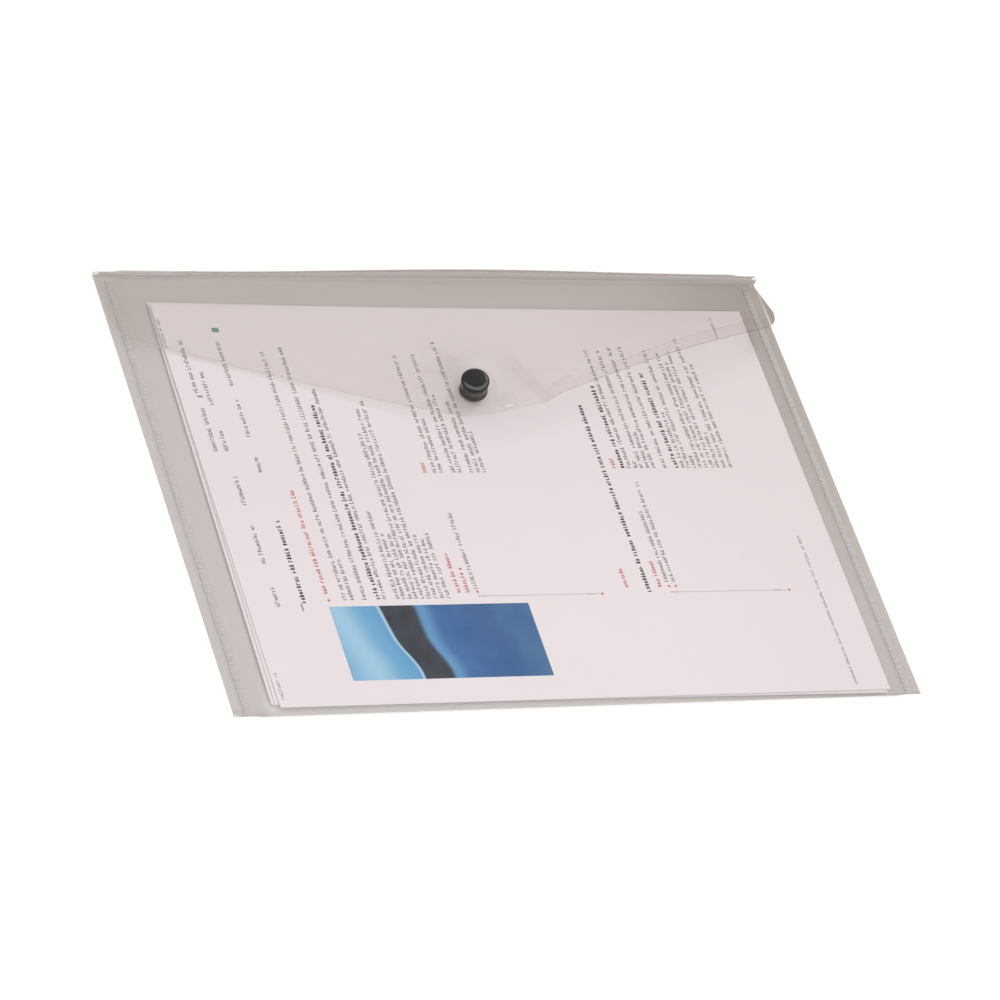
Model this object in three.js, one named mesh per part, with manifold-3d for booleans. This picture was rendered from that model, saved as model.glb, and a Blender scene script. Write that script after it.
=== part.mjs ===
// Transparent document envelope with a press-stud flap and four loose sheets of paper inside.
// Millimetres. The envelope lies on its back: X runs across its width, Y from the bottom fold
// to the flap's crease, +Z up. The origin is under the middle of the back panel.
import * as THREE from "three";
import { mergeVertices } from "three/addons/utils/BufferGeometryUtils.js";
import Module from "manifold-3d";

const wasm = await Module();
wasm.setup();

// Paper
const sheetWidth = 297;
const sheetDepth = 210;
const sheetThickness = 0.1;

// Pocket, made round the paper with room at its sides, its foot and its head
const sideRoom = 18.5;
const footRoom = 2.2;
const headRoom = 21.8;
const filmThickness = 0.2;
const weldInset = 4.8;
const weldWidth = 2.8;
const mouthDrop = 3;

// Clearances
const looseGap = 0.3;
const seatGap = 0.05;

// Flap outline
const flapInset = 2.5;
const flapShift = -2.3;
const flapDepth = 83.3;
const flapSlant = THREE.MathUtils.degToRad(17.2);
const flapCornerRadius = 16;
const flapTipHalfWidth = 10.6;
const flapTipRadius = 60;

// How far the closed flap stands off the front panel. The bridge is the share of the step
// between the welds and the paper that the flap's stiff film keeps clear of.
const flapRestGap = 0.4;
const flapBridge = 0.5;

// The film springs up at the crease, most at the crown, and lifts the flap's right half
const crownHeight = 3;
const crownStart = -120;
const crownMiddle = 30;
const crownEnd = 140;
const crownEndShare = 0.62;
const flapLift = THREE.MathUtils.degToRad(16.7);
const flapLiftStart = -48;
const flapLiftEnd = 127;

// Press stud: its place, the lean that the bent film gives it, and its four pieces
const studTipRoom = 14.8;
const studShift = -1.5;
const studLean = THREE.MathUtils.degToRad(16.4);
const studGap = 5;
const capRadius = 6.3;
const capHeight = 2.4;
const capChamfer = 0.7;
const backingHeight = 1.2;
const studRadius = 5.9;
const flangeHeight = 1;
const neckRadius = 2.1;
const ballRadius = 2.6;
const ballTop = 3.05;
const lipRadius = 2.4;
const lipHeight = 0.3;
const springWall = 0.8;
const springSlits = 4;
const slitWidth = 0.5;
const rimWall = 1.2;
const webHeight = 0.9;
const postRadius = 1;
const postGap = 0.2;
const rivetRadius = 1.6;
const rivetHeight = 0.6;
const edgeBreak = 0.2;
const lipLead = 0.45;
const ballShoulder = 0.8;
const punchLength = 3.2;

// Film drawn up around the stud
const seatMargin = 4.5;
const frontBlend = 20;
const flapBlend = 34;

// Mesh fineness
const fineStep = 4;
const coarseStep = 26;
const fineReach = 32;
const leastStep = 0.5;
const rollSteps = 8;
const cornerSteps = 5;
const lathSteps = 32;
const holeSteps = 12;

// The pile, from the top sheet down: how far each sheet's lower left corner strays from its
// square place in the pocket, and its turn in degrees
const sheetStray = 4.5;
const sheetLays = [
  { right: 2.8, up: 1.5, turn: -0.15 },
  { right: 1.1, up: 3.1, turn: -0.75 },
  { right: -0.5, up: 3.6, turn: -0.85 },
  { right: 0.4, up: 2.8, turn: -0.6 },
];

// Heights through the pocket
const backTop = filmThickness;
const sheetPitch = sheetThickness + looseGap;
const pileTop = backTop + sheetPitch * sheetLays.length;
const weldedTop = backTop + looseGap + filmThickness;
const filledTop = pileTop + looseGap + filmThickness;

// Places in the pocket's plane
const pocketWidth = sheetWidth + 2 * sideRoom;
const pocketDepth = sheetDepth + footRoom + headRoom;
const halfWidth = pocketWidth / 2;
const weldEdge = halfWidth - weldInset - weldWidth;
const filledEdge = sheetWidth / 2 + sheetStray;
const foldY = -pocketDepth / 2 + filledTop / 2;
const flapHalfWidth = halfWidth - flapInset;
const studDrop = flapDepth - studTipRoom;
const studX = flapShift + studShift;
const studY = pocketDepth / 2 - studDrop;
const seatRadius = capRadius + seatMargin;

const mix = (a, b, t) => a + (b - a) * t;

function ease(value) {
  const t = THREE.MathUtils.clamp(value, 0, 1);
  return t * t * (3 - 2 * t);
}

// Height of the front film's upper side away from the stud: welded down at the sides, lifted
// over the paper
function restingTop(x) {
  const rise = ease((weldEdge - Math.abs(x)) / (weldEdge - filledEdge));
  return mix(weldedTop, filledTop, rise);
}

// The stud leans with the film. Its base is the point where its axis leaves the front film.
const leanSlope = Math.tan(studLean);
const backingDepth = backingHeight + filmThickness + 2 * seatGap;
const studBaseZ = pileTop + looseGap + capRadius * Math.sin(studLean)
  + backingDepth * Math.cos(studLean);

function alongStud(height) {
  return new THREE.Vector3(
    studX - height * Math.sin(studLean),
    studY,
    studBaseZ + height * Math.cos(studLean),
  );
}

// Height of the film's seat, which is square to the stud's axis and levels out past its edge
function seatTop(x, height) {
  const centre = alongStud(height);
  const run = THREE.MathUtils.clamp(x - centre.x, -seatRadius, seatRadius);
  return centre.z + leanSlope * run;
}

function seatShare(x, y, height, blend) {
  const centre = alongStud(height);
  const distance = Math.hypot(x - centre.x, y - centre.y);
  return 1 - ease((distance - seatRadius) / blend);
}

function frontTop(x, y) {
  return mix(restingTop(x), seatTop(x, 0), seatShare(x, y, 0, frontBlend));
}

// Height that the flap lies over at rest: it bridges part of the step down to the welds
function bridgedTop(x) {
  return mix(restingTop(x), filledTop, flapBridge);
}

function crown(x) {
  const climb = ease((x - crownStart) / (crownMiddle - crownStart));
  const fall = ease((x - crownMiddle) / (crownEnd - crownMiddle));
  return crownHeight * climb * mix(1, crownEndShare, fall);
}

function flapStandOff(x, run) {
  const lift = Math.tan(flapLift) * ease((x - flapLiftStart) / (flapLiftEnd - flapLiftStart));
  return flapRestGap + crown(x) + run * lift;
}

function flapUnder(x, y, run) {
  const resting = bridgedTop(x) + flapStandOff(x, run);
  return mix(resting, seatTop(x, studGap), seatShare(x, y, studGap, flapBlend));
}

// The rolled crease is as high as the flap's root, so its radius changes along the width
function creaseHeight(x) {
  return bridgedTop(x) + flapStandOff(x, 0) + filmThickness;
}

function tallestCrease() {
  return Math.max(...acrossStations(-halfWidth, halfWidth, studX).map(creaseHeight));
}

// Distance from the crease to the flap's free edge: straight shoulders, round corners, slanted
// edges and a softly rounded tip
function flapReach(x) {
  const a = Math.abs(x - flapShift);
  const slope = Math.tan(flapSlant);
  const cornerA = flapHalfWidth - flapCornerRadius;
  const slantAt = (at) => flapDepth - slope * (at - flapTipHalfWidth);
  const cornerS = slantAt(cornerA) - flapCornerRadius / Math.cos(flapSlant);
  const tipTangent = flapTipRadius * Math.tan(flapSlant / 2);
  const tipStart = flapTipHalfWidth - tipTangent;
  const tipEnd = tipStart + flapTipRadius * Math.sin(flapSlant);
  if (a <= tipStart) return flapDepth;
  if (a <= tipEnd) {
    return flapDepth - flapTipRadius + Math.sqrt(flapTipRadius ** 2 - (a - tipStart) ** 2);
  }
  if (a <= cornerA + flapCornerRadius * Math.sin(flapSlant)) return slantAt(a);
  const run = Math.min(a - cornerA, flapCornerRadius);
  return cornerS + Math.sqrt(flapCornerRadius ** 2 - run ** 2);
}

// Grid lines from one place to another, close together round a middle that lies halfway
// between two of them
function stations(from, to, middle) {
  const lines = [from, to];
  for (let offset = fineStep / 2; offset < fineReach; offset += fineStep) {
    lines.push(middle - offset, middle + offset);
  }
  const inside = lines.filter((at) => at >= from && at <= to).sort((a, b) => a - b);
  const ends = inside.filter((at, index) => (
    index === 0 || at === to || (at - inside[index - 1] > leastStep && to - at > leastStep)
  ));
  const filled = ends.slice(1).flatMap((end, index) => {
    const start = ends[index];
    const count = Math.ceil((end - start) / coarseStep);
    return Array.from({ length: count }, (_, i) => mix(start, end, i / count));
  });
  return [...filled, to];
}

// Grid lines across the pocket, with those where the film climbs from the welds to the paper
function acrossStations(from, to, middle) {
  const climb = [0, 0.25, 0.5, 0.75, 1].map((t) => mix(weldEdge, filledEdge, t));
  const extra = climb.flatMap((x) => [-x, x]).filter((x) => x > from && x < to);
  const plain = stations(from, to, middle);
  const inner = plain.filter((x) => extra.every((mark) => Math.abs(mark - x) > fineStep / 2));
  return [...new Set([from, ...inner, ...extra, to])].sort((a, b) => a - b);
}

// Cuts the cells of a box's lower side along the same diagonals as those of its upper side
function matchDiagonals(geometry) {
  const lower = geometry.groups[5];
  const corners = geometry.index.array;
  for (let i = lower.start; i < lower.start + lower.count; i += 6) {
    const [a, b, , , c, d] = corners.slice(i, i + 6);
    corners.set([a, b, c, a, c, d], i);
  }
}

// A sheet of film: a flat box whose grid is carried onto the film's two sides
function bentFilm(across, along, pointAt) {
  const geometry = new THREE.BoxGeometry(1, 1, 1, across.length - 1, along.length - 1, 1);
  matchDiagonals(geometry);
  const position = geometry.attributes.position;
  for (let i = 0; i < position.count; i += 1) {
    const column = Math.round((position.getX(i) + 0.5) * (across.length - 1));
    const row = Math.round((position.getY(i) + 0.5) * (along.length - 1));
    const point = pointAt(across[column], along[row], position.getZ(i) > 0);
    position.setXYZ(i, point.x, point.y, point.z);
  }
  return geometry;
}

function toManifold(geometry) {
  const bare = geometry.clone();
  bare.deleteAttribute("normal");
  bare.deleteAttribute("uv");
  const merged = mergeVertices(bare, 1e-5);
  return new wasm.Manifold(new wasm.Mesh({
    numProp: 3,
    vertProperties: new Float32Array(merged.attributes.position.array),
    triVerts: new Uint32Array(merged.index.array),
  }));
}

function fromManifold(solid) {
  const mesh = solid.getMesh();
  const geometry = new THREE.BufferGeometry();
  geometry.setAttribute("position", new THREE.BufferAttribute(mesh.vertProperties, 3));
  geometry.setIndex(new THREE.BufferAttribute(mesh.triVerts, 1));
  return geometry;
}

// Turns a geometry made about the Z axis so that it stands on the leaning stud's base
function ontoStud(geometry) {
  const base = alongStud(0);
  return geometry.rotateY(-studLean).translate(base.x, base.y, base.z);
}

// The hole that is punched in a film for a post
function postHole(height) {
  const cutter = new THREE.CylinderGeometry(
    postRadius + postGap, postRadius + postGap, punchLength, holeSteps);
  cutter.rotateX(Math.PI / 2).translate(0, 0, height);
  return ontoStud(cutter);
}

function revolve(profile) {
  const points = profile.map(([r, z]) => new THREE.Vector2(r, z));
  return new THREE.LatheGeometry(points, lathSteps).rotateX(Math.PI / 2);
}

// Points of a quarter round or longer arc in a profile
function arc(centreR, centreZ, radius, from, to, steps) {
  return Array.from({ length: steps + 1 }, (_, i) => {
    const angle = THREE.MathUtils.degToRad(mix(from, to, i / steps));
    return [centreR + radius * Math.cos(angle), centreZ + radius * Math.sin(angle)];
  });
}

const creaseY = pocketDepth / 2 - tallestCrease() / 2;

function backPanel() {
  const length = creaseY - foldY;
  const geometry = new THREE.BoxGeometry(pocketWidth, length, filmThickness);
  return geometry.translate(0, (creaseY + foldY) / 2, filmThickness / 2);
}

function frontPanel() {
  const across = acrossStations(-halfWidth, halfWidth, studX);
  const along = stations(foldY + seatGap, creaseY - mouthDrop, studY);
  const film = bentFilm(across, along, (x, y, upper) => (
    new THREE.Vector3(x, y, frontTop(x, y) - (upper ? 0 : filmThickness))
  ));
  return fromManifold(toManifold(film).subtract(toManifold(postHole(0))));
}

// Half a tube of film whose radius follows a height along the width. It runs from one film's
// edge, round the outside, to the other film's edge.
function rolledFilm(heightAt, middleY, from, to, gap) {
  const turns = Array.from({ length: rollSteps + 1 }, (_, i) => i / rollSteps);
  return bentFilm(acrossStations(-halfWidth, halfWidth, studX), turns, (x, turn, outer) => {
    const radius = heightAt(x) / 2 - (outer ? 0 : filmThickness);
    const angle = THREE.MathUtils.degToRad(mix(from, to, turn));
    const y = middleY + gap + radius * Math.cos(angle);
    return new THREE.Vector3(x, y, heightAt(x) / 2 + radius * Math.sin(angle));
  });
}

function bottomFold() {
  return rolledFilm(restingTop, foldY, 270, 90, -seatGap);
}

function flapCrease() {
  return rolledFilm(creaseHeight, creaseY, 90, -90, seatGap);
}

function weldSeam(side) {
  const length = creaseY - mouthDrop - foldY - seatGap;
  const height = weldedTop - filmThickness - backTop - 2 * seatGap;
  const geometry = new THREE.BoxGeometry(weldWidth, length, height);
  const x = side * (halfWidth - weldInset - weldWidth / 2);
  const y = foldY + seatGap + length / 2;
  return geometry.translate(x, y, backTop + seatGap + height / 2);
}

// Grid lines across the flap, which close up round its corners
function flapStations() {
  const left = flapShift - flapHalfWidth;
  const right = flapShift + flapHalfWidth;
  const turns = Array.from({ length: cornerSteps }, (_, i) => (i / cornerSteps) * Math.PI / 2);
  const insets = turns.map((turn) => flapCornerRadius * (1 - Math.sin(turn)));
  const holeX = alongStud(studGap).x;
  const inner = acrossStations(left + flapCornerRadius, right - flapCornerRadius, holeX);
  const ends = insets.flatMap((inset) => [left + inset, right - inset]);
  const lines = [left, right, ...inner, ...ends].sort((a, b) => a - b);
  return lines.filter((x, index) => index === 0 || x - lines[index - 1] > leastStep);
}

function flapPanel() {
  const runs = stations(0, flapDepth, creaseY - studY);
  const shares = runs.map((run) => run / flapDepth);
  const film = bentFilm(flapStations(), shares.reverse(), (x, share, upper) => {
    const run = share * flapReach(x);
    const y = creaseY - run;
    return new THREE.Vector3(x, y, flapUnder(x, y, run) + (upper ? filmThickness : 0));
  });
  return fromManifold(toManifold(film).subtract(toManifold(postHole(studGap))));
}

// The cap's post goes down through the flap and the socket, and its end is spread inside
function snapCap() {
  const bottom = studGap + filmThickness + 2 * seatGap;
  const top = bottom + capHeight;
  const rivetTop = studGap - 2 * seatGap - webHeight;
  const rivetBottom = rivetTop - rivetHeight;
  return ontoStud(revolve([
    [0, rivetBottom],
    [rivetRadius - edgeBreak, rivetBottom],
    [rivetRadius, rivetBottom + rivetHeight / 3],
    [rivetRadius, rivetTop],
    [postRadius, rivetTop],
    [postRadius, bottom],
    [capRadius - capChamfer / 3, bottom],
    [capRadius, bottom + capChamfer / 3],
    ...arc(capRadius - capChamfer, top - capChamfer, capChamfer, 0, 90, 4),
    [capRadius / 2, top + capChamfer / 3],
    [0, top + capChamfer / 2],
  ]));
}

// The socket's spring ring closes under the stud's ball. Slits let it open.
function snapSocket() {
  const top = studGap - seatGap;
  const web = top - webHeight;
  const bottom = flangeHeight + looseGap;
  const springInner = ballRadius + looseGap;
  const springOuter = springInner + springWall;
  const boreRadius = postRadius + postGap;
  const body = toManifold(revolve([
    [lipRadius, bottom + seatGap],
    [springOuter, bottom + seatGap],
    [springOuter, web - looseGap],
    [studRadius - rimWall, web - looseGap],
    [studRadius - rimWall, bottom],
    [studRadius - edgeBreak, bottom],
    [studRadius, bottom + edgeBreak],
    ...arc(studRadius - capChamfer / 2, top - capChamfer / 2, capChamfer / 2, 0, 90, 3),
    [boreRadius, top],
    [boreRadius, web],
    [springInner, web],
    [springInner, bottom + lipHeight + lipLead],
    [lipRadius, bottom + lipHeight],
    [lipRadius, bottom + seatGap],
  ]));
  const slitBottom = bottom - looseGap;
  const slitTop = web - looseGap;
  const slitLength = springWall + springInner - lipRadius + looseGap;
  let cut = body;
  for (let i = 0; i < springSlits; i += 1) {
    const slit = new THREE.BoxGeometry(slitLength, slitWidth, slitTop - slitBottom);
    slit.translate(lipRadius + slitLength / 2 - looseGap / 2, 0, (slitTop + slitBottom) / 2);
    slit.rotateZ((i * 2 * Math.PI) / springSlits);
    cut = cut.subtract(toManifold(slit));
  }
  return ontoStud(fromManifold(cut));
}

// The stud: a flange on the front film and a hollow ball with a narrower neck
function snapStud() {
  const boreRadius = postRadius + postGap;
  const cupRadius = rivetRadius + postGap;
  const cupFloor = flangeHeight + rivetHeight / 2;
  return ontoStud(revolve([
    [boreRadius, seatGap],
    [studRadius, seatGap],
    [studRadius, flangeHeight - edgeBreak],
    [studRadius - edgeBreak, flangeHeight],
    [neckRadius + looseGap, flangeHeight],
    [neckRadius, flangeHeight + looseGap],
    [neckRadius, flangeHeight + looseGap * 2],
    [ballRadius, ballTop - ballShoulder],
    [ballRadius - seatGap * 2, ballTop - looseGap],
    [ballRadius - looseGap, ballTop],
    [cupRadius, ballTop],
    [cupRadius, cupFloor],
    [boreRadius, cupFloor],
    [boreRadius, seatGap],
  ]));
}

// The backing cap lies inside the pocket. Its post comes up through the front film and the
// stud, and its end is spread in the stud's hollow ball.
function snapBackingCap() {
  const top = -filmThickness - 2 * seatGap;
  const bottom = top - backingHeight;
  const rivetBottom = flangeHeight + rivetHeight / 2 + seatGap;
  const rivetTop = rivetBottom + rivetHeight;
  return ontoStud(revolve([
    [0, bottom],
    [capRadius - capChamfer / 2, bottom],
    [capRadius, bottom + capChamfer / 2],
    [capRadius, top - capChamfer / 3],
    [capRadius - capChamfer / 3, top],
    [postRadius, top],
    [postRadius, rivetBottom],
    [rivetRadius, rivetBottom],
    [rivetRadius, rivetTop - rivetHeight / 3],
    [rivetRadius - edgeBreak, rivetTop],
    [0, rivetTop],
  ]));
}

function paperSheet(lay, index) {
  const geometry = new THREE.BoxGeometry(sheetWidth, sheetDepth, sheetThickness);
  geometry.translate(sheetWidth / 2, sheetDepth / 2, 0);
  geometry.rotateZ(THREE.MathUtils.degToRad(lay.turn));
  const bottom = pileTop - index * sheetPitch - sheetThickness;
  const x = lay.right - sheetWidth / 2;
  const y = lay.up + footRoom - pocketDepth / 2;
  return geometry.translate(x, y, bottom + sheetThickness / 2);
}

function material(colour, roughness, opacity = 1) {
  return new THREE.MeshStandardMaterial({
    color: colour,
    roughness,
    metalness: 0,
    opacity,
    transparent: opacity < 1,
  });
}

const envelope = new THREE.Group();

function add(name, geometry, finish) {
  const mesh = new THREE.Mesh(geometry, finish);
  mesh.name = name;
  envelope.add(mesh);
}

const clearFilm = () => material(0xcfc9c4, 0.25, 0.35);
const blackPlastic = () => material(0x232121, 0.3);
const whitePaper = () => material(0xefe8e8, 0.8);

add("back_panel", backPanel(), clearFilm());
add("front_panel", frontPanel(), clearFilm());
add("bottom_fold", bottomFold(), clearFilm());
add("left_weld", weldSeam(-1), clearFilm());
add("right_weld", weldSeam(1), clearFilm());
add("flap_crease", flapCrease(), clearFilm());
add("flap_panel", flapPanel(), clearFilm());
add("snap_cap", snapCap(), blackPlastic());
add("snap_socket", snapSocket(), blackPlastic());
add("snap_stud", snapStud(), blackPlastic());
add("snap_backing_cap", snapBackingCap(), blackPlastic());
sheetLays.forEach((lay, index) => {
  add(`paper_${index + 1}`, paperSheet(lay, index), whitePaper());
});

export default envelope;
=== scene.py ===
import math
import random

import bmesh
import bpy
import numpy as np
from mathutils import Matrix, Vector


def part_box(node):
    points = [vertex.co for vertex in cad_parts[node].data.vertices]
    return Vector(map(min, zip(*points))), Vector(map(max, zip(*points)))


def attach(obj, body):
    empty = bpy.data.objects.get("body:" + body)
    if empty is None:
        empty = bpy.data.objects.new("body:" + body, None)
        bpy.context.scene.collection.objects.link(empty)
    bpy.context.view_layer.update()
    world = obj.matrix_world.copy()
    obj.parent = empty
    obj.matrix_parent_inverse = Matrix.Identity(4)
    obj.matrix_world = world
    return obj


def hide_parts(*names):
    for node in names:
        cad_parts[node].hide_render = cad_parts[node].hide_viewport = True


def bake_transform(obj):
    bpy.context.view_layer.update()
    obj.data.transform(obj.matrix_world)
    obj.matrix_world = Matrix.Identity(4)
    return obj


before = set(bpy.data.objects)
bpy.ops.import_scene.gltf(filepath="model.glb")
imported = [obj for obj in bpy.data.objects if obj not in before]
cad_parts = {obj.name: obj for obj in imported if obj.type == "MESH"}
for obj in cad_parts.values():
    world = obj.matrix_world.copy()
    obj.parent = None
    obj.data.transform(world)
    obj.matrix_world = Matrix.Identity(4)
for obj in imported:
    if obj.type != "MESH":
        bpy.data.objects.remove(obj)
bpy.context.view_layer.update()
print("frame: loaded", len(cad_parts), "solids")

mm = 0.001  # every length below is in millimetres until a mesh is made
scene = bpy.context.scene


# Camera, lamps and stage

camera = {
    "place": (-1061.263, -1136.045, 1547.573),
    "turn": (40.1699, -22.0883, -18.1247),  # degrees
    "lens": 181.6,
    "sensor": 36,
    "shift": (0.04871, -0.03065),
    "clip": (0.1, 20),  # metres
    "filmLayers": 32,  # how many layers of clear film a ray may pass
}
camData = bpy.data.cameras.new("camera")
camData.lens = camera["lens"]
camData.sensor_width = camera["sensor"]
camData.shift_x, camData.shift_y = camera["shift"]
camData.clip_start, camData.clip_end = camera["clip"]
cam = bpy.data.objects.new("camera", camData)
cam.location = [v * mm for v in camera["place"]]
cam.rotation_euler = [math.radians(v) for v in camera["turn"]]
scene.collection.objects.link(cam)
scene.camera = cam
scene.view_settings.view_transform = "Standard"
scene.cycles.transparent_max_bounces = camera["filmLayers"]

light = {
    "sky": 0.72,
    "skyColour": (1.0, 0.995, 0.99),
    "key": {"place": (1500, 1500, 2100), "size": (1000, 1000), "power": 16.0},
    "fill": {"place": (-1900, 300, 1500), "size": (1100, 1100), "power": 5.0},
    "front": {"place": (203, -1540, 1090), "size": (1500, 260), "power": 7.0},
}
world = bpy.data.worlds.new("sky")
world.use_nodes = True
world.node_tree.nodes["Background"].inputs["Color"].default_value = (*light["skyColour"], 1)
world.node_tree.nodes["Background"].inputs["Strength"].default_value = light["sky"]
scene.world = world


def addLamp(name, values):
    data = bpy.data.lights.new(name, "AREA")
    data.shape = "RECTANGLE"
    data.size, data.size_y = (v * mm for v in values["size"])
    data.energy = values["power"]
    lamp = bpy.data.objects.new(name, data)
    lamp.location = [v * mm for v in values["place"]]
    lamp.rotation_euler = (-lamp.location).to_track_quat("-Z", "Y").to_euler()
    scene.collection.objects.link(lamp)


addLamp("keyLamp", light["key"])
addLamp("fillLamp", light["fill"])
addLamp("frontLamp", light["front"])


# Small helpers for meshes

def ease(value):
    t = np.clip(value, 0, 1)
    return t * t * (3 - 2 * t)


def mix(a, b, t):
    return a + (b - a) * t


def ramp(value, span):
    # climbs from 0 to 1, from a start and over a length
    start, length = span
    return ease((value - start) / length)


def bell(distance, width):
    return np.exp(-(distance / width) ** 2)


sharpTurn = math.radians(40)  # edges that turn more than this stay sharp


def newObject(name, points, faces):
    mesh = bpy.data.meshes.new(name)
    mesh.from_pydata([tuple(p) for p in np.asarray(points, float) * mm], [], faces)
    mesh.validate()
    mesh.polygons.foreach_set("use_smooth", [True] * len(mesh.polygons))
    made = bpy.data.objects.new(name, mesh)
    scene.collection.objects.link(made)
    return made


def gridFaces(rows, columns):
    corner = np.arange(rows * columns).reshape(rows, columns)
    quads = np.stack([corner[:-1, :-1], corner[:-1, 1:], corner[1:, 1:], corner[1:, :-1]], -1)
    return quads.reshape(-1, 4).tolist()


def bake(obj):
    # the modifiers' result becomes the object's own plain mesh
    bpy.context.view_layer.update()
    result = bpy.data.meshes.new_from_object(
        obj.evaluated_get(bpy.context.evaluated_depsgraph_get()))
    obj.modifiers.clear()
    obj.data = result
    result.name = obj.name
    result.set_sharp_from_angle(angle=sharpTurn)
    return obj


def addAttribute(obj, name, values):
    layer = obj.data.attributes.new(name, "FLOAT", "POINT")
    layer.data.foreach_set("value", np.asarray(values, np.float32).ravel())


def addSizes(obj, sizes):
    # each point's own length, width and height, for the strips laid there
    layer = obj.data.attributes.new("size", "FLOAT_VECTOR", "POINT")
    layer.data.foreach_set("vector", (np.asarray(sizes) * mm).astype(np.float32).ravel())


def addThickness(obj, thick, rimMaterial=0):
    # half of it to either side of a single sheet
    solid = obj.modifiers.new("solid", "SOLIDIFY")
    solid.thickness = thick * mm
    solid.offset = 0
    solid.use_even_offset = False
    solid.material_offset_rim = rimMaterial
    return bake(obj)


def joinPoints(mesh, recalculate):
    # one point where several meet
    work = bmesh.new()
    work.from_mesh(mesh)
    bmesh.ops.remove_doubles(work, verts=work.verts, dist=0.002 * mm)
    if recalculate:
        bmesh.ops.recalc_face_normals(work, faces=work.faces)
    work.to_mesh(mesh)
    work.free()


# Shader groups that several finishes share

def newGroup(name, inputs, outputs):
    group = bpy.data.node_groups.new(name, "ShaderNodeTree")
    for label, kind, value in inputs:
        socket = group.interface.new_socket(label, in_out="INPUT", socket_type=kind)
        if value is not None:
            socket.default_value = value
    for label, kind in outputs:
        group.interface.new_socket(label, in_out="OUTPUT", socket_type=kind)
    group.nodes.new("NodeGroupInput").name = "in"
    group.nodes.new("NodeGroupOutput").name = "out"
    return group


def addNode(tree, kind, **settings):
    node = tree.nodes.new(kind)
    for key, value in settings.items():
        if key in node.inputs:
            node.inputs[key].default_value = value
        else:
            setattr(node, key, value)
    return node


def makeGrain():
    # two sizes of noise: a fine one for the surface's height, a broad one for its colour
    group = newGroup(
        "surfaceGrain",
        [("Vector", "NodeSocketVector", None), ("Fine", "NodeSocketFloat", 1500.0),
         ("Broad", "NodeSocketFloat", 18.0), ("Mottle", "NodeSocketFloat", 0.5)],
        [("Height", "NodeSocketFloat"), ("Mask", "NodeSocketFloat")])
    into, out = group.nodes["in"], group.nodes["out"]
    fine = addNode(group, "ShaderNodeTexNoise", Detail=3.0, Roughness=0.6)
    broad = addNode(group, "ShaderNodeTexNoise", Detail=4.0, Roughness=0.55)
    for noise, size in ((fine, "Fine"), (broad, "Broad")):
        group.links.new(into.outputs["Vector"], noise.inputs["Vector"])
        group.links.new(into.outputs[size], noise.inputs["Scale"])
    spread = addNode(group, "ShaderNodeMath", operation="MULTIPLY_ADD")
    centre = addNode(group, "ShaderNodeMath", operation="SUBTRACT")
    centre.inputs[1].default_value = 0.5
    spread.inputs[2].default_value = 0.5
    group.links.new(broad.outputs["Fac"], centre.inputs[0])
    group.links.new(centre.outputs[0], spread.inputs[0])
    group.links.new(into.outputs["Mottle"], spread.inputs[1])
    group.links.new(fine.outputs["Fac"], out.inputs["Height"])
    group.links.new(spread.outputs[0], out.inputs["Mask"])
    return group


surfaceGrain = makeGrain()


def newFinish(name, colours, rough, grain, bump, specular=0.5):
    # a Principled finish whose colour and height vary with the shared grain
    finish = bpy.data.materials.new(name)
    finish.use_nodes = True
    tree = finish.node_tree
    shader = tree.nodes["Principled BSDF"]
    shader.inputs["Roughness"].default_value = rough
    shader.inputs["Specular IOR Level"].default_value = specular
    place = tree.nodes.new("ShaderNodeTexCoord")
    group = tree.nodes.new("ShaderNodeGroup")
    group.node_tree = surfaceGrain
    group.name = "grain"
    for label, value in zip(("Fine", "Broad", "Mottle"), grain):
        group.inputs[label].default_value = value
    tree.links.new(place.outputs["Object"], group.inputs["Vector"])
    tint = addNode(tree, "ShaderNodeMix", data_type="RGBA")
    tint.name = "tint"
    tint.inputs[6].default_value = (*colours[0], 1)
    tint.inputs[7].default_value = (*colours[1], 1)
    tree.links.new(group.outputs["Mask"], tint.inputs[0])
    tree.links.new(tint.outputs[2], shader.inputs["Base Color"])
    relief = addNode(tree, "ShaderNodeBump", Strength=bump[0], Distance=bump[1] * mm)
    tree.links.new(group.outputs["Height"], relief.inputs["Height"])
    tree.links.new(relief.outputs["Normal"], shader.inputs["Normal"])
    return finish


film = {
    "colours": ((0.328, 0.251, 0.208), (0.404, 0.318, 0.271)),
    "specular": 0.16, "ior": 1.49,
    "alpha": 0.05,  # of one side of the film: a ray passes two
    "rimAlpha": 0.16,
    # the colour of the painted shade, then the alpha and colour of the pale marks: strain whitening
    # and painted highlights
    "shade": (0.17, 0.135, 0.11),
    "stressAndHighlightAlpha": 0.50,
    "stressAndHighlight": (1.0, 0.985, 0.98),
    "rough": 0.24,
    "grain": (2600.0, 14.0, 0.9),
    "bump": (0.25, 0.02),
}


def tintBy(tree, attribute, colour, target):
    # moves a colour towards the target by the share in a mesh attribute
    share = addNode(tree, "ShaderNodeAttribute", attribute_name=attribute)
    blend = addNode(tree, "ShaderNodeMix", data_type="RGBA")
    blend.inputs[7].default_value = (*target, 1)
    tree.links.new(share.outputs["Fac"], blend.inputs[0])
    tree.links.new(colour, blend.inputs[6])
    return blend.outputs[2]


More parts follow.
